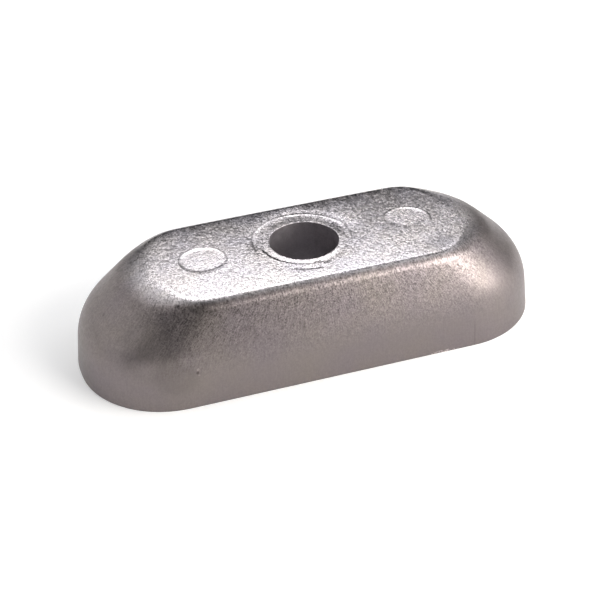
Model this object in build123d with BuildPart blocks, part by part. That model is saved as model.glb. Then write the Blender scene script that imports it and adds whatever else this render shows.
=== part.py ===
"""Hull anode: a small zinc casting that one bolt clamps to a boat's underwater metalwork.

It is a single casting. A low skirt with a little draft carries a crown whose ends slope
well inwards and whose long sides lean in much less, and one broad blend runs round
between the two. The bolt passes straight down through the middle of the crown.

The origin is the middle of the flat mounting face. +X runs along the length and +Z points
away from the boat, towards the bolt's head. Sizes are in millimetres and angles in degrees.
"""

from build123d import *

import os
from math import atan2, cos, radians, sin, sqrt, tan

# Foot: the outline that sits on the boat. Its ends are round but for a short flat.
LENGTH = 61.0
WIDTH = 24.0
FOOT_END_FLAT = 1.4
FOOT_EDGE_BREAK = 0.25

# Skirt: the low wall that rises from the foot
SKIRT_HEIGHT = 7.0
SKIRT_DRAFT = 4.4

# Crown: where its slopes would meet the top plane if the rim were sharp
HEIGHT = 13.5
END_SET_BACK = 7.6
SIDE_SET_BACK = 2.4
CROWN_END_FLAT = 0.7
RIM_RADIUS = 1.8

# Shoulder: the blend from the skirt to the crown
SHOULDER_RADIUS = 7.5
STATIONS = 18

# Bolt hole, and the shallow land left round it by the shoulder of the mould's core pin
BOLT_HOLE = 9.0
HOLE_MOUTH_BREAK = 0.4
LAND_WIDTH = 2.0
LAND_DEPTH = 0.25
LAND_DRAFT = 20

# Flash: a sliver of metal that crept over the land's edge and stayed there
FLASH_REACH = 0.75
FLASH_START = 185
FLASH_SWEEP = 91

# Ejector marks: the prints of the pins that push the casting out of the mould
MARK_DIAMETER = 6.1
MARK_DEPTH = 0.2
MARK_DRAFT = 20
MARKS_X = (-13.5, 14.2)


def wall_inset(z, set_back):
    """Return how far a wall stands in from the foot's edge at height z.

    The skirt leans in at its draft. The crown then slopes on, to stand in by set_back at the
    full height, and an arc of SHOULDER_RADIUS joins the two straight stretches.
    """
    draft = radians(SKIRT_DRAFT)
    waist_inset = SKIRT_HEIGHT * tan(draft)
    slope = atan2(set_back - waist_inset, HEIGHT - SKIRT_HEIGHT)
    reach = SHOULDER_RADIUS * tan((slope - draft) / 2)
    arc_start = SKIRT_HEIGHT - reach * cos(draft)
    arc_end = SKIRT_HEIGHT + reach * cos(slope)
    if z <= arc_start:
        return z * tan(draft)
    if z >= arc_end:
        return waist_inset + (z - SKIRT_HEIGHT) * tan(slope)
    centre_inset = arc_start * tan(draft) + SHOULDER_RADIUS * cos(draft)
    centre_z = arc_start - SHOULDER_RADIUS * sin(draft)
    return centre_inset - sqrt(SHOULDER_RADIUS**2 - (z - centre_z) ** 2)


def wall_outline(z):
    """Return the length, the width and the corner radius of the wall's outline at height z."""
    length = LENGTH - 2 * wall_inset(z, END_SET_BACK)
    width = WIDTH - 2 * wall_inset(z, SIDE_SET_BACK)
    end_flat = FOOT_END_FLAT + (CROWN_END_FLAT - FOOT_END_FLAT) * z / HEIGHT
    return length, width, (width - end_flat) / 2


os.makedirs("parts", exist_ok=True)
top = Plane.XY.offset(HEIGHT)
land_radius = BOLT_HOLE / 2 + LAND_WIDTH

with BuildPart() as anode_block:
    # Skirt, shoulder and crown are one smooth skin over outlines at even heights
    for station in range(STATIONS + 1):
        height = HEIGHT * station / STATIONS
        with BuildSketch(Plane.XY.offset(height)):
            RectangleRounded(*wall_outline(height))
    loft()
    fillet(anode_block.faces().sort_by(Axis.Z)[-1].edges(), RIM_RADIUS)
    chamfer(anode_block.faces().sort_by(Axis.Z)[0].edges(), FOOT_EDGE_BREAK)

    # The land is a full circle but for the sliver of flash over its edge
    with BuildSketch(top):
        Circle(land_radius)
        with BuildLine():
            outer = CenterArc((0, 0), land_radius, FLASH_START, FLASH_SWEEP)
            inner = CenterArc((0, 0), land_radius - FLASH_REACH, FLASH_START, FLASH_SWEEP)
            Line(outer @ 0, inner @ 0)
            Line(outer @ 1, inner @ 1)
        make_face(mode=Mode.SUBTRACT)
    extrude(amount=-LAND_DEPTH, taper=LAND_DRAFT, mode=Mode.SUBTRACT)

    with BuildSketch(top):
        with Locations(*[(x, 0) for x in MARKS_X]):
            Circle(MARK_DIAMETER / 2)
    extrude(amount=-MARK_DEPTH, taper=MARK_DRAFT, mode=Mode.SUBTRACT)

    with Locations(top):
        Hole(BOLT_HOLE / 2)
    mouth = anode_block.edges().filter_by(GeomType.CIRCLE).filter_by(
        lambda edge: abs(edge.radius - BOLT_HOLE / 2) < 1e-4
    )
    chamfer(mouth.sort_by(Axis.Z)[-1], HOLE_MOUTH_BREAK)

anode_block.part.label = "anode_block"
export_step(anode_block.part, "parts/anode_block.step")
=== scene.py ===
"""Hull anode: the looks of a small zinc casting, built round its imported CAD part.

The casting is one closed surface worked out in numpy from the same sizes as the part. The stage
is a pale floor with soft studio light. Lengths in the formulas are in millimetres and angles in
degrees. The settings and the meshes hold metres and radians, as Blender does.
"""

from math import radians
from types import SimpleNamespace

import bpy
import numpy as np
from mathutils import Matrix, Vector


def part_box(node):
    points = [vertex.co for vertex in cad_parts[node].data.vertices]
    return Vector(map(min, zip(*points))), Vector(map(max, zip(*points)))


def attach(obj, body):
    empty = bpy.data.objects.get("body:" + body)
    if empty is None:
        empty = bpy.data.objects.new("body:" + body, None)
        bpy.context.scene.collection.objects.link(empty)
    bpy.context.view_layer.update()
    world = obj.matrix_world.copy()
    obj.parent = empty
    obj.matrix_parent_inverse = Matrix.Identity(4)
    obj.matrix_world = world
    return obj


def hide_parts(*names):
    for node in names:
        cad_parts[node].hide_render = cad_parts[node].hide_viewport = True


bl_info = {
    "name": "Hull Anode",
    "version": (1, 0, 0),
    "blender": (4, 5, 0),
    "location": "3D View > Sidebar > Hull Anode",
    "description": "Builds the cast body of a hull anode and the stage it stands on",
    "category": "Add Mesh",
}

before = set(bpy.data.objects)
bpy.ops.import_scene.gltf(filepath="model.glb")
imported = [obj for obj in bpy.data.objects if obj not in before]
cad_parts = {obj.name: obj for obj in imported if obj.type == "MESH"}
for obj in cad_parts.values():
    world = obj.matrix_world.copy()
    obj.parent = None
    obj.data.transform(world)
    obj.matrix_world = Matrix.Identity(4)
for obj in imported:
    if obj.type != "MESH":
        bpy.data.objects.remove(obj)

NODE = "anode_block"
LOW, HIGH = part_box(NODE)
# to a tenth of a millimetre, because the bevel of the foot's edge takes a little off the box
LENGTH, WIDTH, HEIGHT = (round((HIGH[i] - LOW[i]) * 1000, 1) for i in range(3))

# Fine relief of the top, which a user would hardly change

# The crown falls by its setting this far across, and by a share of it this far along
CROWN_SPREAD = (20, 7.8)
END_FALL = 0.6
# It falls by no more than so many times its setting
FALL_LIMIT = 1.6
# A little more fall at the far side, between these two places across
FAR_FALL = 0.05
FAR_FALL_FROM, FAR_FALL_TO = 5.5, 9.5
# The dish round the land ends at this radius
DISH_RADIUS = 8.4
# Crack outside the flash: its ring, and where it fades in and out round the hole
CRACK_RADIUS, CRACK_WIDTH, CRACK_DEPTH = 6.78, 0.09, 0.07
CRACK_IN, CRACK_OUT = (238, 243), (271, 274)
# Two rings of points, this far apart, keep an ejector print's edge crisp. Points that lie
# this near to one are moved onto it.
PRINT_RING_GAP = 0.14
PRINT_RING_REACH = 0.15
# On the rim the relief is whole from this far under the top. It fades out down the bore.
RELIEF_DEPTH = 0.3
BORE_FADE_FROM, BORE_FADE_TO = 0.6, 3
# Width of the land's steep edge, and what it gains where the land fades out and at the left
LAND_EDGE, FADED_EDGE, LEFT_EDGE = 0.07, 0.45, 0.15
# Heights over the land's flat of the steep edge's foot and of the gentle slope
EDGE_FOOT, SLOPE_HEIGHT = 0.055, 0.04
# The land loses this share of its depth towards the front right
FADE_ANGLE = -35
FADE_SHARE = 0.7
# The lip round the hole loses this share of its height at the back
BACK_LIP_LOSS = 0.7
# The lip's section: places from the hole outwards, as shares of its width, and their rise
LIP_SECTION = ((0.75, 0.2), (0.5, 0.55), (0.28, 0.9), (0.14, 1.0), (0.03, 0.85))


# ---------------------------------------------------------------- the casting's own shape


def in_millimetres(settings):
    """Return the settings' values, with lengths in millimetres and angles in degrees.

    They are rounded, because Blender keeps them in single precision.
    """
    values = {}
    for key in settings.__annotations__:
        value = getattr(settings, key)
        unit = getattr(settings.bl_rna.properties[key], "unit", "NONE")
        if unit == "LENGTH":
            value = np.round(np.multiply(value, 1000), 5)
        elif unit == "ROTATION":
            value = np.round(np.degrees(value), 5)
        values[key] = value
    return SimpleNamespace(**values)


def wall_inset(z, set_back, p):
    """Return how far a wall stands in from the foot's edge at height z.

    The skirt leans in at its draft. The crown slopes on, to stand in by set_back at the full
    height. An arc of the shoulder's radius joins the two straight stretches.
    """
    draft = np.radians(p.skirt_draft)
    waist = p.skirt_height * np.tan(draft)
    slope = np.arctan2(set_back - waist, p.height - p.skirt_height)
    reach = p.shoulder_radius * np.tan((slope - draft) / 2)
    start = p.skirt_height - reach * np.cos(draft)
    end = p.skirt_height + reach * np.cos(slope)
    centre = start * np.tan(draft) + p.shoulder_radius * np.cos(draft)
    centre_z = start - p.shoulder_radius * np.sin(draft)
    arc = centre - np.sqrt(np.maximum(p.shoulder_radius**2 - (z - centre_z) ** 2, 0))
    return np.where(
        z <= start,
        z * np.tan(draft),
        np.where(z >= end, waist + (z - p.skirt_height) * np.tan(slope), arc),
    )


def outline(z, u, p):
    """Return the points of the wall's outline at height z, before its joints are eased.

    u runs once round, from 0 to 1. Each quarter is half a long side, a round corner and half
    an end flat, and each of the three takes the share of u that it has of the foot's own edge.
    """
    half_length = p.length / 2 - wall_inset(z, p.end_set_back, p)
    half_width = p.width / 2 - wall_inset(z, p.side_set_back, p)
    flat = (p.foot_end_flat + (p.crown_end_flat - p.foot_end_flat) * z / p.height) / 2
    radius = half_width - flat
    straight = half_length - radius
    foot_flat = p.foot_end_flat / 2
    foot_radius = p.width / 2 - foot_flat
    shares = np.array([foot_flat, foot_radius * np.pi / 2, p.length / 2 - foot_radius])
    edges = np.concatenate([[0], np.cumsum(shares)]) / shares.sum()
    quarter = np.floor(u * 4).astype(int) % 4
    v = (u * 4) % 1
    v = np.where(quarter % 2 == 0, v, 1 - v)
    along_flat = np.clip(v / edges[1], 0, 1)
    along_corner = np.clip((v - edges[1]) / (edges[2] - edges[1]), 0, 1)
    along_side = np.clip((v - edges[2]) / (1 - edges[2]), 0, 1)
    angle = along_corner * np.pi / 2
    x = straight * (1 - along_side) + radius * np.cos(angle)
    y = flat * along_flat + radius * np.sin(angle)
    sign_x = np.where((quarter == 0) | (quarter == 3), 1.0, -1.0)
    sign_y = np.where(quarter < 2, 1.0, -1.0)
    return sign_x * x, sign_y * y


def blur_round(values, share):
    """Blur numbers that run once round, by a bell curve whose width is a share of the way."""
    waves = np.arange(len(values) // 2 + 1)
    return np.fft.irfft(
        np.fft.rfft(values) * np.exp(-2 * (np.pi * share * waves) ** 2), len(values)
    )


def eased_outline(z, u, p):
    """Return the outline's points at height z and its outward directions, with eased joints.

    The outline is blurred along itself, most at the crown, and stretched back to its own
    length and width. Outward is square to the line between a point's two neighbours.
    """
    x, y = outline(z, u, p)
    ease = p.joint_ease * (0.25 + 0.75 * np.mean(z) / p.height)
    share = ease / (2 * (p.length - p.width) + np.pi * p.width)
    soft = [blur_round(v, share) for v in (x, y)]
    x, y = (v * abs(w).max() / abs(v).max() for v, w in zip(soft, (x, y)))
    tx = np.roll(x, -1) - np.roll(x, 1)
    ty = np.roll(y, -1) - np.roll(y, 1)
    size = np.hypot(tx, ty)
    return x, y, ty / size, -tx / size


def smooth(x, low, high):
    """Go smoothly from 0 at low to 1 at high."""
    t = np.clip((x - low) / (high - low), 0, 1)
    return t * t * (3 - 2 * t)


def pull_to_rings(x, y, centre, radii, reach):
    """Move points that lie near a ring straight onto it, so that its edge comes out crisp.

    reach holds for each ring how far inside and how far outside it the points may lie.
    """
    dx, dy = x - centre[0], y - centre[1]
    d = np.hypot(dx, dy) + 1e-9
    target = d
    for radius, near in zip(radii, reach):
        target = np.where((d > radius - near[0]) & (d < radius + near[1]), radius, target)
    return centre[0] + dx * target / d, centre[1] + dy * target / d


def print_walls(y):
    """Return how wide the walls of the left and the right ejector print are at y.

    The left one's spread to its front and back, and the right one's to its front.
    """
    return 0.35 + 0.6 * smooth(abs(y), 1.4, 2.8), 0.25 + 1.8 * smooth(-y, -1.2, 2.0)


def top_relief(x, y, p):
    """Return how far the top lies under its plane at x, y.

    It falls away with the square of the distance along and across, and a little more at the
    far side. It dishes towards the land, most at the back. Each ejector pin left a shallow
    flat print with soft walls. A crack, a bell curve in section, runs outside the flash.
    """
    spread_x, spread_y = CROWN_SPREAD
    fall = (y / spread_y) ** 2 + END_FALL * (x / spread_x) ** 2
    drop = p.crown_fall * np.minimum(fall, FALL_LIMIT)
    drop = drop + FAR_FALL * smooth(y, FAR_FALL_FROM, FAR_FALL_TO) ** 2
    r = np.hypot(x, y)
    dish = (1 - smooth(r, p.land_diameter / 2, DISH_RADIUS)) ** 2
    drop = drop + p.dish_depth * dish * (0.25 + 0.75 * smooth(y, -3, 3))
    for mark_x, wall in zip((p.left_mark, p.right_mark), print_walls(y)):
        d = np.hypot(x - mark_x, y)
        inside = 1 - smooth(d, p.mark_diameter / 2 - wall, p.mark_diameter / 2 - 0.01)
        drop = drop + inside * p.mark_depth
    angle = np.degrees(np.arctan2(y, x)) % 360
    along = smooth(angle, *CRACK_IN) * (1 - smooth(angle, *CRACK_OUT))
    across = np.exp(-(((r - CRACK_RADIUS) / CRACK_WIDTH) ** 2))
    return drop + CRACK_DEPTH * along * across


def rim_ball(u, p):
    """Roll a ball round the rim, so that it touches the crown's slope and the top.

    In the upright plane across the outline the slope stands at an angle to the vertical, and
    the ball's middle is one radius inside the slope and under the top. The radius grows from
    the long sides round to the ends. The ball leaves the slope at a height that depends on
    the slope there, so a few rounds find it. Returns the middle's x and y, the outward
    direction, the slope, the radius and that height.
    """
    step = 1e-4
    _, _, nx, ny = eased_outline(np.full(u.size, p.height), u, p)
    rim = p.rim_radius + (p.back_rim_radius - p.rim_radius) * smooth(ny, 0.3, 1.0)
    rim = rim + (p.end_rim_radius - rim) * smooth(abs(nx), 0.1, 1.0)
    top = p.height - rim
    for _ in range(4):
        x0, y0, nx, ny = eased_outline(top, u, p)
        x1, y1, _, _ = eased_outline(top + step, u, p)
        slope = np.arctan(-((x1 - x0) * nx + (y1 - y0) * ny) / step)
        top = p.height - rim * (1 - np.sin(slope))
    x0, y0, nx, ny = eased_outline(top, u, p)
    inward = rim * np.cos(slope)
    return x0 - inward * nx, y0 - inward * ny, nx, ny, slope, rim, top


def land_reach(angle, p):
    """Return how far from the hole's axis the land ends, at an angle round it.

    The land is a circle a little off the axis, so a line from the axis leaves it at the
    shift's part along the line, plus the root of the radius squared less the square of the
    shift's part across it. The flash takes a strip off it.
    """
    along = p.land_shift[0] * np.cos(angle) + p.land_shift[1] * np.sin(angle)
    across_squared = p.land_shift[0] ** 2 + p.land_shift[1] ** 2 - along**2
    land = along + np.sqrt((p.land_diameter / 2) ** 2 - across_squared)
    turn = np.degrees(angle) % 360
    flash = (turn > p.flash_start) & (turn < p.flash_start + p.flash_sweep)
    return np.where(flash, land - p.flash_reach, land)


def casting_grid(p):
    """Work out the casting as rows of points, each row once round the hole.

    The rows go from the hole's lower edge out over the underside, up the wall, round the rim,
    in over the top, down the land's edge, over the land and down the bore. The rim is the
    ball's arc from the slope's angle up to a right angle. Returns the points, the lane of each
    (its column's place on the foot, and its distance up the profile) and its zone: 0 on the
    wall, rising over the rim, 1 on the top, 2 on the land and 3 in the bore.
    """
    n = p.columns
    u = (np.arange(n) + 0.5) / n
    rows, zones = [], []

    def add(x, y, z, zone):
        rows.append(np.stack([x + 0 * u, y + 0 * u, z + 0 * u], 1))
        zones.append(zone)

    cx, cy, nx, ny, slope, rim, top = rim_ball(u, p)
    angle = np.arctan2(cy, cx)
    ax, ay = np.cos(angle), np.sin(angle)
    land = land_reach(angle, p)
    bore = p.bolt_hole / 2

    # underside, from the bore's lower edge to the foot's
    fx, fy, fnx, fny = eased_outline(np.full(n, p.foot_edge_break), u, p)
    bx, by = fx - p.foot_edge_wear * fnx, fy - p.foot_edge_wear * fny
    for t in np.linspace(0, 1, 5):
        add(bore * ax * (1 - t) + bx * t, bore * ay * (1 - t) + by * t, 0, 0)
    # foot's edge and wall
    add(fx, fy, p.foot_edge_wear, 0)
    for t in np.linspace(0, 1, p.wall_rows):
        z = p.foot_edge_break + (top - p.foot_edge_break) * t
        x, y, _, _ = eased_outline(z, u, p)
        add(x, y, z, 0)
    # rim
    for t in np.linspace(0, 1, p.rim_rows)[1:]:
        f = slope + (np.pi / 2 - slope) * t
        reach = rim * np.cos(f)
        add(cx + reach * nx, cy + reach * ny, p.height - rim * (1 - np.sin(f)), t)
    first_top = len(rows) - 1
    # top, from the rim to the land's edge, with its rows closer together near the land
    for t in np.linspace(0, 1, p.top_rows)[1:]:
        w = 1 - (1 - t) ** 1.4
        add(cx * (1 - w) + land * ax * w, cy * (1 - w) + land * ay * w, p.height, 1)
    last_top = len(rows)
    # land: a short steep edge, a gentle slope, the flat and the lip round the hole
    fade = smooth(np.cos(angle - np.radians(FADE_ANGLE)), 0.35, 0.95)
    remains = 1 - FADE_SHARE * fade
    floor = p.height - p.land_depth * remains
    edge = LAND_EDGE + FADED_EDGE * fade + LEFT_EDGE * smooth(-ax, 0.5, 0.9)
    lip = bore + p.lip_width
    lip_height = p.lip_height * (1 - BACK_LIP_LOSS * smooth(ay, -0.2, 0.7))
    inner = land - edge - np.minimum(0.45, (land - lip) * 0.3)
    foot = land - edge * 0.8
    add(foot * ax, foot * ay, floor + EDGE_FOOT * remains, 2)
    for t in np.linspace(0, 1, 4):
        r = (land - edge) * (1 - t) + inner * t
        add(r * ax, r * ay, floor + SLOPE_HEIGHT * remains * (1 - t) ** 1.2, 2)
    add(lip * ax, lip * ay, floor, 2)
    for t, rise in LIP_SECTION:
        r = bore + p.lip_width * t
        add(r * ax, r * ay, floor + lip_height * rise, 2)
    # bore, with its first rows close together so that its mouth stays crisp
    mouth = floor + lip_height * 0.5
    down = np.linspace(mouth - 0.6, 0 * mouth, 13)[:-1]
    for z in (mouth, mouth - 0.06, mouth - 0.2, *down):
        add(bore * ax, bore * ay, z, 3)

    points = np.array(rows)
    zone = np.array(zones)[:, None] + np.zeros(n)
    x, y = points[..., 0], points[..., 1]
    outer = p.mark_diameter / 2
    half = PRINT_RING_GAP / 2
    for mark_x in (p.left_mark, p.right_mark):
        x[first_top:last_top], y[first_top:last_top] = pull_to_rings(
            x[first_top:last_top],
            y[first_top:last_top],
            (mark_x, 0),
            (outer, outer - PRINT_RING_GAP),
            ((half, PRINT_RING_REACH), (PRINT_RING_REACH, half - 0.0001)),
        )
    share = smooth(points[..., 2], p.height - p.rim_radius, p.height - RELIEF_DEPTH)
    deep = p.height - points[last_top:, :, 2]
    share[last_top:] = 1 - smooth(deep, BORE_FADE_FROM, BORE_FADE_TO)
    share[: first_top - p.rim_rows] = 0
    points[..., 2] -= top_relief(x, y, p) * share
    along = np.hypot(*np.moveaxis(np.diff(points[:, :, [0, 2]], axis=0), 2, 0))
    along = np.vstack([np.zeros((1, n)), np.cumsum(along, 0)])
    foot_x, foot_y, _, _ = eased_outline(np.zeros(n), u, p)
    lane = np.stack([foot_x + 0 * along, foot_y + 0 * along, along], -1)
    return points, lane, zone


def grid_mesh(name, points, lane, zone):
    """Make a mesh of a grid that closes both ways, with its faces outward.

    It carries the lane, and two numbers from 0 to 1: top rises over the rim and stays 1 from
    there on, and bore rises from the land into the hole.
    """
    rows, columns, _ = points.shape
    row = np.arange(rows)[:, None] * columns
    next_row = np.roll(np.arange(rows), -1)[:, None] * columns
    column = np.arange(columns)[None, :]
    next_column = np.roll(np.arange(columns), -1)[None, :]
    corners = [row + column, row + next_column, next_row + next_column, next_row + column]
    quads = np.stack(corners, -1).reshape(-1, 4)
    mesh = bpy.data.meshes.new(name)
    mesh.vertices.add(rows * columns)
    mesh.vertices.foreach_set("co", (points.reshape(-1) / 1000).astype(np.float32))
    mesh.loops.add(quads.size)
    mesh.loops.foreach_set("vertex_index", quads.reshape(-1).astype(np.int32))
    mesh.polygons.add(len(quads))
    mesh.polygons.foreach_set("loop_start", np.arange(0, quads.size, 4, dtype=np.int32))
    mesh.polygons.foreach_set("use_smooth", np.ones(len(quads), bool))
    mesh.update(calc_edges=True)
    attribute = mesh.attributes.new("lane", "FLOAT_VECTOR", "POINT")
    attribute.data.foreach_set("vector", lane.reshape(-1).astype(np.float32))
    for key, start in (("top", 0), ("bore", 2)):
        attribute = mesh.attributes.new(key, "FLOAT", "POINT")
        values = np.clip(zone - start, 0, 1)
        attribute.data.foreach_set("value", values.reshape(-1).astype(np.float32))
    mesh.validate()
    return mesh


# ---------------------------------------------------------------- materials


def new_group(name, inputs, outputs):
    """Start a node group. inputs and outputs are (name, socket type, default) rows."""
    group = bpy.data.node_groups.new(name, "ShaderNodeTree")
    for direction, rows in (("INPUT", inputs), ("OUTPUT", outputs)):
        for key, kind, default in rows:
            socket = group.interface.new_socket(
                key, in_out=direction, socket_type="NodeSocket" + kind
            )
            if default is not None:
                socket.default_value = default
    return group, group.nodes.new("NodeGroupInput"), group.nodes.new("NodeGroupOutput")


class Wiring:
    """Adds nodes to a tree and links them, so that a formula reads in one line."""

    def __init__(self, tree):
        self.tree = tree

    def put(self, socket, value):
        """Link a socket to another, or set its own number or colour."""
        if isinstance(value, bpy.types.NodeSocket):
            self.tree.links.new(value, socket)
        else:
            socket.default_value = value

    def node(self, kind, settings=(), **inputs):
        node = self.tree.nodes.new("ShaderNode" + kind)
        for key, value in dict(settings).items():
            setattr(node, key, value)
        for key, value in inputs.items():
            self.put(node.inputs[key.replace("_", " ")], value)
        return node

    def math(self, operation, a, b=0.0, clamp=False):
        node = self.node("Math", {"operation": operation, "use_clamp": clamp})
        self.put(node.inputs[0], a)
        self.put(node.inputs[1], b)
        return node.outputs[0]

    def plus(self, a, b):
        return self.math("ADD", a, b)

    def minus(self, a, b):
        return self.math("SUBTRACT", a, b)

    def times(self, a, b):
        return self.math("MULTIPLY", a, b)

    def vector(self, operation, a, b):
        node = self.node("VectorMath", {"operation": operation})
        self.put(node.inputs[0], a)
        self.put(node.inputs[1], b)
        return node.outputs[0]

    def span(self, value, from_min, from_max, to_min=0.0, to_max=1.0, smooth=False):
        """Carry a number from one span over to another and stop at its ends."""
        node = self.node(
            "MapRange",
            {"interpolation_type": "SMOOTHSTEP" if smooth else "LINEAR"},
            Value=value,
            From_Min=from_min,
            From_Max=from_max,
            To_Min=to_min,
            To_Max=to_max,
        )
        return node.outputs[0]

    def noise(self, vector, scale, detail=2.0):
        node = self.node("TexNoise", Vector=vector, Scale=scale, Detail=detail)
        return node.outputs["Fac"]

    def mix(self, factor, a, b, kind="RGBA", blend="MIX"):
        """Mix two colours, or two numbers where the kind is FLOAT."""
        node = self.node("Mix", {"data_type": kind, "blend_type": blend})
        self.put(node.inputs["Factor"], factor)
        self.put(node.inputs["A"], a)
        self.put(node.inputs["B"], b)
        return node.outputs["Result"]

    def stretch(self, vector, scale):
        return self.node("Mapping", Vector=vector, Scale=scale).outputs[0]

    def group(self, tree, **inputs):
        return self.node("Group", {"node_tree": tree}, **inputs).outputs

    def attribute(self, name, output="Fac"):
        return self.node("Attribute", {"attribute_name": name}).outputs[output]


def grain_group():
    """Grain of the casting: crystals about a fifth of a millimetre across, from 0 to 1.

    Cells gives each crystal one random value. Fine and Coarse are soft noise.
    """
    group, source, result = new_group(
        "cast_grain",
        [("Vector", "Vector", None)],
        [("Cells", "Float", None), ("Fine", "Float", None), ("Coarse", "Float", None)],
    )
    w = Wiring(group)
    vector = w.stretch(source.outputs["Vector"], (1.0, 0.7, 0.9))
    crystals = w.node("TexVoronoi", Vector=vector, Scale=7400.0)
    cells = w.node("SeparateColor", Color=crystals.outputs["Color"]).outputs[0]
    w.put(result.inputs["Cells"], cells)
    w.put(result.inputs["Fine"], w.span(w.noise(vector, 5200.0, 1.0), 0.25, 0.75))
    w.put(result.inputs["Coarse"], w.span(w.noise(vector, 2300.0, 2.0), 0.3, 0.7))
    return group


def streak_group():
    """Drawn grain of the walls: short lines that run up the wall, from 0 to 1.

    The lane holds each point's place on the foot and its distance up the wall, so noise that
    is stretched along the third number gives lines square to the rim.
    """
    group, source, result = new_group(
        "wall_streaks", [("Lane", "Vector", None)], [("Streaks", "Float", None)]
    )
    w = Wiring(group)
    long = w.noise(w.stretch(source.outputs["Lane"], (4.5, 4.5, 0.9)), 1.0, 1.0)
    short = w.noise(w.stretch(source.outputs["Lane"], (5.0, 5.0, 3.2)), 1.0, 2.0)
    both = w.plus(w.times(long, 0.5), w.times(short, 0.5))
    w.put(result.inputs["Streaks"], w.span(both, 0.3, 0.7))
    return group


def spot_group():
    """A soft-edged blob from 0 to 1: 1 within its half sizes round its place, in metres."""
    group, source, result = new_group(
        "spot",
        [("Vector", "Vector", None), ("Place", "Vector", None), ("Sizes", "Vector", None)],
        [("Spot", "Float", None)],
    )
    w = Wiring(group)
    get = source.outputs
    off = w.vector("DIVIDE", w.vector("SUBTRACT", get["Vector"], get["Place"]), get["Sizes"])
    far = w.node("VectorMath", {"operation": "LENGTH"}, Vector=off).outputs["Value"]
    w.put(result.inputs["Spot"], w.span(far, 1.3, 0.6, smooth=True))
    return group


def ring_group():
    """A soft line along part of a ring and the disc inside it, each from 0 to 1.

    Lengths are in millimetres and angles in degrees. The line is a bell curve across the
    ring's radius. It runs for Reach to each side of the angle Middle and fades out in Fade.
    """
    group, source, result = new_group(
        "ring_line",
        [
            ("Vector", "Vector", None),
            ("X", "Float", 0.0),
            ("Y", "Float", 0.0),
            ("Radius", "Float", 3.0),
            ("Width", "Float", 0.1),
            ("Middle", "Float", 0.0),
            ("Reach", "Float", 90.0),
            ("Fade", "Float", 20.0),
        ],
        [("Line", "Float", None), ("Inside", "Float", None)],
    )
    w = Wiring(group)
    get = source.outputs
    millimetres = w.stretch(get["Vector"], (1000, 1000, 1000))
    place = w.node("SeparateXYZ", Vector=millimetres).outputs
    x = w.minus(place["X"], get["X"])
    y = w.minus(place["Y"], get["Y"])
    r = w.math("SQRT", w.plus(w.times(x, x), w.times(y, y)))
    off = w.math("DIVIDE", w.minus(r, get["Radius"]), get["Width"])
    across = w.math("EXPONENT", w.times(w.times(off, off), -1.0))
    turn = w.minus(w.math("ARCTAN2", y, x), w.math("RADIANS", get["Middle"]))
    far = w.math("MINIMUM", w.plus(get["Reach"], get["Fade"]), 180.0)
    along = w.span(
        w.math("COSINE", turn),
        w.math("COSINE", w.math("RADIANS", far)),
        w.math("COSINE", w.math("RADIANS", get["Reach"])),
        smooth=True,
    )
    w.put(result.inputs["Line"], w.times(across, along))
    w.put(result.inputs["Inside"], w.span(off, -1.0, -3.0, smooth=True))
    return group


# Painted shade: dark lines along the rings on top, at the edges of the land, the flash, the crack
# and the prints, in millimetres and degrees. A line runs for its reach to each side of its
# middle. Its depth is the share of the light that it takes.
CREASE_SHADES = (
    # x, y, radius, width, middle, reach, fade, depth
    (-0.25, 0.15, 6.50, 0.10, 95, 95, 50, 0.38),
    (0.00, 0.00, 5.72, 0.08, 230, 46, 4, 0.60),
    (0.00, 0.00, 6.78, 0.06, 256, 14, 5, 0.55),
    (-13.5, 0.00, 3.05, 0.08, 155, 45, 30, 0.65),
    (-13.5, 0.00, 3.05, 0.08, 25, 30, 25, 0.65),
    (-13.5, 0.00, 3.08, 0.06, 270, 60, 20, 0.30),
    (14.2, 0.00, 3.12, 0.12, 62, 70, 30, 0.85),
)

# Pits, bright scratches and soft lighter and darker patches, in millimetres; some patches are
# painted shade or painted light, as marked. The metal's colour is multiplied by the tone.
MARKS_AND_PAINTED_LIGHT = (
    # place in x, y and z, half sizes in x, y and z, tone
    (-17.85, -11.6, 5.45, 0.18, 0.8, 0.20, 1.55),
    (-17.95, -11.6, 5.00, 0.20, 0.8, 0.22, 0.55),
    (-17.75, -11.6, 4.62, 0.16, 0.8, 0.14, 1.25),
    (-27.08, -1.85, 9.56, 0.25, 0.25, 0.25, 0.72),
    (-18.94, -8.13, 12.86, 0.28, 0.35, 0.30, 0.45),
    (-12.40, 5.92, 13.45, 0.50, 0.11, 0.50, 0.45),
    (-12.85, 6.46, 13.45, 0.22, 0.18, 0.50, 1.90),
    (-11.05, 5.50, 13.45, 0.18, 0.15, 0.50, 1.60),
    (-12.20, 5.15, 13.45, 0.70, 0.13, 0.50, 1.50),
    (19.10, -11.8, 1.80, 0.10, 1.2, 2.1, 0.84),
    # painted shade on the left front hip
    (-20.5, -10.5, 4.60, 3.0, 3.5, 2.4, 0.86),
    # painted light on the right end of the top
    (21.30, 1.90, 13.00, 2.2, 5.0, 1.6, 1.30),
    (17.20, -7.20, 13.40, 3.8, 2.4, 1.4, 0.70),
    (0.20, 7.40, 13.40, 2.5, 1.1, 0.8, 1.45),
    (7.20, 3.60, 13.45, 2.1, 3.1, 0.8, 1.30),
    # painted light that lifts the shade on the left front corner
    (-23.50, -9.00, 8.20, 2.2, 2.4, 3.2, 1.22),
)

# The stretch of the foot's front edge that is chipped to bright metal: place and half sizes
CHIPS = (14.8, -12.0, 0, 2.0, 1.0, 0.35)


def spot_mask(w, spot, where, row):
    """Return how much a point belongs to a spot whose row starts with its place and sizes."""
    x, y, z, a, b, c = (v / 1000 for v in row[:6])
    return w.group(spot, Vector=where, Place=(x, y, z), Sizes=(a, b, c))["Spot"]


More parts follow.
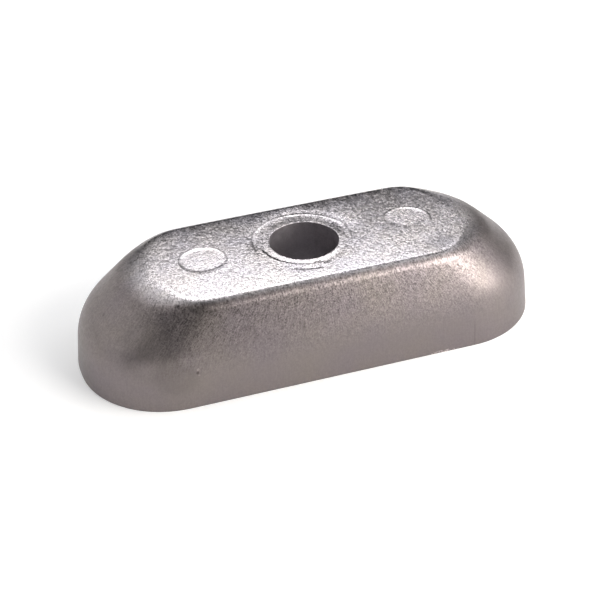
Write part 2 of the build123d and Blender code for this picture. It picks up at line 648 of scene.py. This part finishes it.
def zinc_material(p):
    """Cast zinc: a bright grainy metal on top, with a duller satin film on the walls.

    Its colour is a patchy mix of two close colours times a tone round 1, on the top and on the
    walls alike. The tone also carries painted shade and painted light, and the bore takes a
    lighter colour as painted light. The mesh's own number says how much of a point is top. Places
    are in metres here.
    """
    mat = bpy.data.materials.new("cast_zinc")
    mat.use_nodes = True
    shader = mat.node_tree.nodes["Principled BSDF"]
    shader.inputs["Metallic"].default_value = 1.0
    w = Wiring(mat.node_tree)
    where = w.node("TexCoord").outputs["Object"]
    lane = w.attribute("lane", "Vector")
    place = w.node("SeparateXYZ", Vector=where).outputs
    across, far, height = place["X"], place["Y"], place["Z"]
    # the film reaches higher up the rim in front
    film_edge = w.span(far, -0.0060, -0.0085, 0.15, 0.42)
    top = w.span(w.attribute("top"), film_edge, 0.87, smooth=True)
    bore = w.attribute("bore")
    crown = w.span(height, 0.004, 0.012)

    grain = w.group(grain_group(), Vector=where)
    cells, fine, coarse = grain["Cells"], grain["Fine"], grain["Coarse"]
    streaks = w.group(streak_group(), Lane=lane)["Streaks"]
    ring = ring_group()
    # painted shade along the creases round the land, the flash, the crack and the prints
    crease_shade = 0.0
    for row in CREASE_SHADES:
        keys = ("X", "Y", "Radius", "Width", "Middle", "Reach", "Fade")
        line = w.group(ring, Vector=where, **dict(zip(keys, row)))["Line"]
        crease_shade = w.math("MAXIMUM", crease_shade, w.times(line, row[-1]))
    crease_shade = w.times(crease_shade, top)
    left, right = (
        w.group(ring, Vector=where, X=mark_x, Radius=p.mark_diameter / 2)["Inside"]
        for mark_x in (p.left_mark, p.right_mark)
    )

    # colour: patches of warm and cool metal
    warmth = w.span(w.noise(where, 260, 3.0), 0.35, 0.65)
    bright = w.mix(warmth, (*p.metal_colour, 1), (*p.warm_colour, 1))
    darkness = w.span(w.noise(where, 160, 3.0), 0.3, 0.7)
    film = w.mix(darkness, (*p.wall_colour, 1), (*p.film_colour, 1))
    colour = w.mix(top, film, bright)

    # tone of the top: the crystals' light and dark, calmer in the prints, which get a painted
    # highlight. The far side gets painted shade, most at the left, and the creases get painted
    # shade.
    sparkle = w.plus(w.times(cells, 0.7), w.times(coarse, 0.3))
    calm = w.minus(1.0, w.times(left, 0.6))
    calm = w.minus(calm, w.times(right, 0.5))
    top_tone = w.times(w.minus(sparkle, 0.5), w.times(calm, 1.25))
    top_tone = w.plus(top_tone, 1.0)
    # painted shade: the top's far side is darkened, most at the left
    far_side_shade = w.span(across, -0.02, 0.02, 0.36, 0.08)
    far_side_shade = w.times(w.span(far, 0.004, 0.0095), far_side_shade)
    far_side_shade = w.plus(far_side_shade, w.span(across, -0.021, -0.015, 0.09, 0.0))
    top_tone = w.times(top_tone, w.minus(1.0, far_side_shade))
    # painted highlight: the prints are lightened
    print_highlight = w.plus(w.times(left, 0.25), w.times(right, 0.45))
    top_tone = w.times(top_tone, w.plus(print_highlight, 1.0))
    top_tone = w.times(top_tone, w.minus(1.0, crease_shade))

    # tone of the walls: crystals and streaks, strongest high up on the long sides
    speckle = w.plus(w.times(cells, 0.45), w.times(streaks, 0.55))
    side = w.span(w.math("ABSOLUTE", across), 0.018, 0.025, 1.0, 0.25, smooth=True)
    rough_wall = w.span(w.times(crown, side), 0, 1, 0.2, 1.9)
    wall_tone = w.times(w.minus(speckle, 0.5), rough_wall)
    wall_tone = w.plus(wall_tone, 1.0)
    # painted light and shade: over the front of the crown the walls' tone runs from darker at the
    # left to lighter at the right
    front = w.times(w.span(far, -0.0075, -0.0095), crown)
    painted_front_gradient = w.times(w.span(across, -0.016, 0.013, -0.26, 0.28), front)
    painted_front_gradient = w.times(painted_front_gradient, w.span(across, 0.015, 0.021, 1.0, 0.35, smooth=True))
    wall_tone = w.times(wall_tone, w.plus(painted_front_gradient, 1.0))

    # both together, then the marks and the patches of painted light and shade, the chips and a
    # painted shadow where the foot meets the floor
    tone = w.mix(top, wall_tone, top_tone, "FLOAT")
    spot = spot_group()
    for row in MARKS_AND_PAINTED_LIGHT:
        tone = w.times(tone, w.span(spot_mask(w, spot, where, row), 0, 1, 1, row[-1]))
    chips = w.span(w.plus(cells, fine), 0.9, 1.2)
    chips = w.times(spot_mask(w, spot, where, CHIPS), chips)
    tone = w.times(tone, w.span(chips, 0, 1, 1, 3.2))
    # painted contact shadow: the tone darkens towards the foot's lower edge
    tone = w.times(tone, w.span(height, 0.0, 0.00022, 0.7, 1.0))
    grey = w.node("CombineColor", Red=tone, Green=tone, Blue=tone).outputs[0]
    colour = w.mix(1.0, colour, grey, blend="MULTIPLY")
    # painted light: the bore takes a lighter colour than the walls, in place of the light it
    # lacks
    colour = w.mix(w.times(bore, 0.85), colour, (*p.painted_light_bore_colour, 1))
    w.put(shader.inputs["Base Color"], colour)

    rough = w.span(top, 0.0, 1.0, 0.43, 0.25)
    rough = w.plus(rough, w.times(bore, 0.25))
    rough = w.plus(rough, w.span(coarse, 0.0, 1.0, -0.05, 0.05))
    w.put(shader.inputs["Roughness"], rough)

    # relief finer than the mesh
    top_height = w.plus(w.times(fine, 0.45), w.times(coarse, 0.5))
    streak_height = w.times(w.times(streaks, crown), 0.45)
    fine_height = w.times(fine, w.span(crown, 0, 1, 0.15, 0.35))
    relief = w.mix(top, w.plus(streak_height, fine_height), top_height, "FLOAT")
    bump = w.node("Bump", Strength=1.0, Distance=0.00002, Height=relief)
    w.put(shader.inputs["Normal"], bump.outputs["Normal"])
    return mat


# ---------------------------------------------------------------- settings


class HULLANODE_PG_casting(bpy.types.PropertyGroup):
    """Sizes and colours of the casting."""

    length: bpy.props.FloatProperty(
        name="Length", description="Overall length", default=LENGTH / 1000, unit="LENGTH"
    )
    width: bpy.props.FloatProperty(
        name="Width", description="Overall width", default=WIDTH / 1000, unit="LENGTH"
    )
    height: bpy.props.FloatProperty(
        name="Height", description="Overall height", default=HEIGHT / 1000, unit="LENGTH"
    )
    foot_end_flat: bpy.props.FloatProperty(
        name="Foot end flat",
        description="Flat at each end of the foot",
        default=0.0014,
        unit="LENGTH",
    )
    crown_end_flat: bpy.props.FloatProperty(
        name="Crown end flat",
        description="Flat at each end of the crown",
        default=0.0007,
        unit="LENGTH",
    )
    foot_edge_break: bpy.props.FloatProperty(
        name="Foot edge break",
        description="Bevel on the foot's edge",
        default=0.00025,
        unit="LENGTH",
    )
    foot_edge_wear: bpy.props.FloatProperty(
        name="Foot edge wear",
        description="Bevel that the foot's edge shows",
        default=0.00007,
        unit="LENGTH",
    )
    skirt_height: bpy.props.FloatProperty(
        name="Skirt height", description="Height of the skirt", default=0.007, unit="LENGTH"
    )
    skirt_draft: bpy.props.FloatProperty(
        name="Skirt draft", description="Lean of the skirt", default=radians(4.4), subtype="ANGLE"
    )
    end_set_back: bpy.props.FloatProperty(
        name="End set back", description="How far the ends lean in", default=0.0074, unit="LENGTH"
    )
    side_set_back: bpy.props.FloatProperty(
        name="Side set back",
        description="How far the sides lean in",
        default=0.0024,
        unit="LENGTH",
    )
    shoulder_radius: bpy.props.FloatProperty(
        name="Shoulder radius",
        description="Blend of skirt and crown",
        default=0.0075,
        unit="LENGTH",
    )
    joint_ease: bpy.props.FloatProperty(
        name="Joint ease",
        description="Width of the easing round the outline",
        default=0.0025,
        unit="LENGTH",
    )
    rim_radius: bpy.props.FloatProperty(
        name="Rim radius",
        description="Rounding of the long sides' rim",
        default=0.0016,
        unit="LENGTH",
    )
    back_rim_radius: bpy.props.FloatProperty(
        name="Back rim radius",
        description="Rounding of the far side's rim",
        default=0.0018,
        unit="LENGTH",
    )
    end_rim_radius: bpy.props.FloatProperty(
        name="End rim radius",
        description="Rounding of the ends' rim",
        default=0.0075,
        unit="LENGTH",
    )
    bolt_hole: bpy.props.FloatProperty(
        name="Bolt hole", description="Width of the bolt's hole", default=0.009, unit="LENGTH"
    )
    lip_width: bpy.props.FloatProperty(
        name="Lip width",
        description="Width of the small lip round the hole",
        default=0.0009,
        unit="LENGTH",
    )
    lip_height: bpy.props.FloatProperty(
        name="Lip height",
        description="Height of the lip over the land",
        default=0.00003,
        unit="LENGTH",
    )
    land_diameter: bpy.props.FloatProperty(
        name="Land diameter", description="Width of the sunk land", default=0.013, unit="LENGTH"
    )
    land_depth: bpy.props.FloatProperty(
        name="Land depth", description="Depth of the sunk land", default=0.0001, unit="LENGTH"
    )
    land_shift: bpy.props.FloatVectorProperty(
        name="Land shift",
        description="How far the land lies off the hole's axis",
        default=(-0.00025, 0.00015),
        size=2,
        unit="LENGTH",
    )
    flash_reach: bpy.props.FloatProperty(
        name="Flash reach",
        description="Width of the sliver of flash",
        default=0.00078,
        unit="LENGTH",
    )
    flash_start: bpy.props.FloatProperty(
        name="Flash start",
        description="Where the flash starts",
        default=radians(184),
        subtype="ANGLE",
    )
    flash_sweep: bpy.props.FloatProperty(
        name="Flash sweep",
        description="How far round it runs",
        default=radians(92),
        subtype="ANGLE",
    )
    mark_diameter: bpy.props.FloatProperty(
        name="Mark diameter",
        description="Width of an ejector print",
        default=0.0061,
        unit="LENGTH",
    )
    mark_depth: bpy.props.FloatProperty(
        name="Mark depth", description="Depth of an ejector print", default=0.00005, unit="LENGTH"
    )
    left_mark: bpy.props.FloatProperty(
        name="Left mark",
        description="Place of the left ejector print",
        default=-0.0135,
        unit="LENGTH",
    )
    right_mark: bpy.props.FloatProperty(
        name="Right mark",
        description="Place of the right ejector print",
        default=0.0142,
        unit="LENGTH",
    )
    dish_depth: bpy.props.FloatProperty(
        name="Dish depth",
        description="Depth of the dish round the land",
        default=0.00004,
        unit="LENGTH",
    )
    crown_fall: bpy.props.FloatProperty(
        name="Crown fall",
        description="How far the top falls to its sides",
        default=0.0001,
        unit="LENGTH",
    )
    columns: bpy.props.IntProperty(
        name="Columns", description="Points round the casting", default=704
    )
    wall_rows: bpy.props.IntProperty(
        name="Wall rows", description="Rows up the wall", default=33
    )
    rim_rows: bpy.props.IntProperty(
        name="Rim rows", description="Rows round the rim", default=9
    )
    top_rows: bpy.props.IntProperty(
        name="Top rows", description="Rows over the top", default=62
    )
    metal_colour: bpy.props.FloatVectorProperty(
        name="Metal colour",
        description="Colour of the bright metal on top",
        default=(0.50, 0.475, 0.50),
        subtype="COLOR",
        size=3,
    )
    warm_colour: bpy.props.FloatVectorProperty(
        name="Warm colour",
        description="Colour of the warmer patches on top",
        default=(0.53, 0.495, 0.49),
        subtype="COLOR",
        size=3,
    )
    wall_colour: bpy.props.FloatVectorProperty(
        name="Wall colour",
        description="Colour of the dull metal on the walls",
        default=(0.226, 0.198, 0.187),
        subtype="COLOR",
        size=3,
    )
    film_colour: bpy.props.FloatVectorProperty(
        name="Film colour",
        description="Colour of the darker film on the walls",
        default=(0.214, 0.186, 0.191),
        subtype="COLOR",
        size=3,
    )
    # smooth metal in the bore, lightened as painted light
    painted_light_bore_colour: bpy.props.FloatVectorProperty(
        name="Bore colour",
        description="Colour of the smooth metal inside the bore",
        default=(0.355, 0.33, 0.355),
        subtype="COLOR",
        size=3,
    )


class HULLANODE_PG_stage(bpy.types.PropertyGroup):
    """Colours and light of the stage."""

    floor_colour: bpy.props.FloatVectorProperty(
        name="Floor colour",
        description="Colour of the floor",
        default=(0.8, 0.8, 0.8),
        subtype="COLOR",
        size=3,
    )
    floor_lift: bpy.props.FloatProperty(
        name="Floor lift",
        description="Light that the floor shows of its own",
        default=0.30,
        min=0.0,
        max=1.0,
        subtype="FACTOR",
    )
    room_colour: bpy.props.FloatVectorProperty(
        name="Room colour",
        description="Colour of the light from the room around",
        default=(0.05, 0.05, 0.055),
        subtype="COLOR",
        size=3,
    )


class HULLANODE_OT_casting(bpy.types.Operator):
    """Build the casting and its material"""

    bl_idname = "hullanode.casting"
    bl_label = "Casting"

    def execute(self, context):
        p = in_millimetres(context.scene.hullanode_casting)
        mesh = grid_mesh("anode_casting", *casting_grid(p))
        piece = bpy.data.objects.new("anode_casting", mesh)
        context.scene.collection.objects.link(piece)
        mesh.materials.append(zinc_material(p))
        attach(piece, "root")
        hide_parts(NODE)
        return {"FINISHED"}


# ---------------------------------------------------------------- stage

# Camera: where it stands round the middle of the crown, how far it is turned, and how far it
# is moved to the left and down in its own frame, in degrees and millimetres
CAMERA_AZIMUTH = -17.831
CAMERA_ELEVATION = 34.5
CAMERA_ROLL = -1.58
CAMERA_DISTANCE = 208.1
CAMERA_LEFT, CAMERA_DOWN = 0.512, 7.78
SENSOR_WIDTH = 36
FOCAL_LENGTH = 97.3482

# The floor is square, and the lamps look at a point near the top of the casting, in metres
FLOOR_HALF_WIDTH = 3.0
LAMP_TARGET = (0, 0, 0.013)

LAMP_COLOURS = {
    "key": (1.0, 0.965, 0.92),
    "back": (0.99, 0.985, 1.0),
    "back_upper": (0.98, 0.985, 1.0),
}

LAMPS = (
    # name, azimuth, elevation, distance, width, height in millimetres, power in watts
    ("back", 155, 41, 250, 180, 50, 0.078),
    ("back_upper", 169, 50, 250, 110, 45, 0.064),
    ("back_high", -175, 66, 300, 200, 110, 0.045),
    ("key", 47, 24, 260, 214, 195, 0.920),
    ("key_upper", 40, 44, 300, 130, 80, 0.060),
    ("side", 86, 38, 400, 240, 330, 0.484),
    ("fill", -98, 20, 450, 440, 300, 0.470),
    ("left_back", -145, 14, 400, 270, 200, 0.160),
    ("front_left", -30, 30, 450, 300, 300, 0.130),
    ("left_high", -148, 48, 400, 280, 180, 0.180),
    ("left_steep", -100, 60, 400, 200, 160, 0.110),
    ("right_back", 124, 44, 400, 240, 160, 0.070),
    ("right_low", 139, 16, 300, 90, 70, 0.0088),
    ("left_rim", -172, 28, 300, 80, 70, 0.012),
    ("right_steep", 90, 65, 400, 200, 160, 0.095),
)


def area_light(name, azimuth, elevation, distance, width, height, power):
    """Add a soft rectangular lamp that looks at the casting.

    The azimuth goes from the front towards the right, in degrees. Lengths are in millimetres.
    """
    data = bpy.data.lights.new(name, "AREA")
    data.shape = "RECTANGLE"
    data.size, data.size_y = width / 1000, height / 1000
    data.energy = power
    data.color = LAMP_COLOURS.get(name, (1, 1, 1))
    lamp = bpy.data.objects.new(name, data)
    bpy.context.scene.collection.objects.link(lamp)
    a, e = np.radians([azimuth, elevation])
    way = Vector((np.sin(a) * np.cos(e), -np.cos(a) * np.cos(e), np.sin(e)))
    lamp.location = way * (distance / 1000) + Vector(LAMP_TARGET)
    lamp.rotation_euler = way.to_track_quat("Z", "Y").to_euler()


def floor_material(p):
    """A pale matt floor that comes out white but keeps the object's shadow.

    To the camera and to shiny things it also shows a little light of its own. Far off, where
    the lamps don't reach, the camera sees it as white.
    """
    mat = bpy.data.materials.new("floor")
    mat.use_nodes = True
    shader = mat.node_tree.nodes["Principled BSDF"]
    shader.inputs["Base Color"].default_value = (*p.floor_colour, 1)
    shader.inputs["Roughness"].default_value = 0.9
    shader.inputs["Specular IOR Level"].default_value = 0.2
    shader.inputs["Emission Color"].default_value = (1, 1, 1, 1)
    w = Wiring(mat.node_tree)
    ray = w.node("LightPath").outputs
    seen = w.plus(ray["Is Camera Ray"], ray["Is Glossy Ray"])
    seen = w.math("ADD", seen, ray["Is Transmission Ray"], clamp=True)
    place = w.node("SeparateXYZ", Vector=w.node("TexCoord").outputs["Object"]).outputs
    squares = w.plus(w.times(place["X"], place["X"]), w.times(place["Y"], place["Y"]))
    away = w.math("SQRT", squares)
    far = w.times(w.span(away, 0.18, 0.42, smooth=True), ray["Is Camera Ray"])
    lift = w.times(seen, p.floor_lift)
    w.put(shader.inputs["Emission Strength"], w.plus(lift, far))
    return mat


def studio_world(p):
    """A dim room that lights the object a little and that the camera sees as white."""
    world = bpy.data.worlds.new("studio")
    world.use_nodes = True
    w = Wiring(world.node_tree)
    shader = world.node_tree.nodes["Background"]
    ray = w.node("LightPath").outputs
    colour = w.mix(ray["Is Camera Ray"], (*p.room_colour, 1), (1, 1, 1, 1))
    w.put(shader.inputs["Color"], colour)
    shader.inputs["Strength"].default_value = 1.0
    return world


def studio_camera():
    """Make the camera. Its frame is right, up and back, turned by the roll about back."""
    azimuth, elevation, roll = np.radians([CAMERA_AZIMUTH, CAMERA_ELEVATION, CAMERA_ROLL])
    level = np.array([np.cos(azimuth), np.sin(azimuth), 0])
    front = np.array([np.sin(azimuth), -np.cos(azimuth), 0])
    back = front * np.cos(elevation) + np.array([0, 0, np.sin(elevation)])
    upright = np.cross(back, level)
    right = np.cos(roll) * level + np.sin(roll) * upright
    up = np.cos(roll) * upright - np.sin(roll) * level
    place = np.array([0, 0, HEIGHT]) + back * CAMERA_DISTANCE
    place = place - right * CAMERA_LEFT - up * CAMERA_DOWN
    data = bpy.data.cameras.new("camera")
    data.sensor_width = SENSOR_WIDTH
    data.lens = FOCAL_LENGTH
    data.clip_start, data.clip_end = 0.01, 20
    camera = bpy.data.objects.new("camera", data)
    axes = np.eye(4)
    axes[:3] = np.stack([right, up, back, place / 1000], 1)
    camera.matrix_world = Matrix(axes.tolist())
    return camera


class HULLANODE_OT_stage(bpy.types.Operator):
    """Set up the floor, the light and the camera"""

    bl_idname = "hullanode.stage"
    bl_label = "Stage"

    def execute(self, context):
        p = context.scene.hullanode_stage
        scene = context.scene
        scene.camera = studio_camera()
        scene.collection.objects.link(scene.camera)
        s = FLOOR_HALF_WIDTH
        mesh = bpy.data.meshes.new("floor")
        mesh.from_pydata(
            [(-s, -s, 0), (s, -s, 0), (s, s, 0), (-s, s, 0)], [], [(0, 1, 2, 3)]
        )
        mesh.materials.append(floor_material(p))
        floor = bpy.data.objects.new("floor", mesh)
        scene.collection.objects.link(floor)
        for lamp in LAMPS:
            area_light(*lamp)
        scene.world = studio_world(p)
        scene.view_settings.view_transform = "Standard"
        return {"FINISHED"}


class HULLANODE_PT_panel(bpy.types.Panel):
    """Lists the settings and the operators"""

    bl_idname = "HULLANODE_PT_panel"
    bl_label = "Hull Anode"
    bl_space_type = "VIEW_3D"
    bl_region_type = "UI"
    bl_category = "Hull Anode"

    def draw(self, context):
        for name in ("casting", "stage"):
            box = self.layout.box()
            settings = getattr(context.scene, "hullanode_" + name)
            for key in settings.__annotations__:
                box.prop(settings, key)
            box.operator("hullanode." + name)


CLASSES = (
    HULLANODE_PG_casting,
    HULLANODE_PG_stage,
    HULLANODE_OT_casting,
    HULLANODE_OT_stage,
    HULLANODE_PT_panel,
)


def register():
    for cls in CLASSES:
        bpy.utils.register_class(cls)
    bpy.types.Scene.hullanode_casting = bpy.props.PointerProperty(
        type=HULLANODE_PG_casting
    )
    bpy.types.Scene.hullanode_stage = bpy.props.PointerProperty(type=HULLANODE_PG_stage)


def unregister():
    del bpy.types.Scene.hullanode_stage
    del bpy.types.Scene.hullanode_casting
    for cls in reversed(CLASSES):
        bpy.utils.unregister_class(cls)


def main():
    """Build everything in order."""
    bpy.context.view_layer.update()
    register()
    bpy.ops.hullanode.casting()
    bpy.ops.hullanode.stage()


if __name__ == "__main__":
    main()
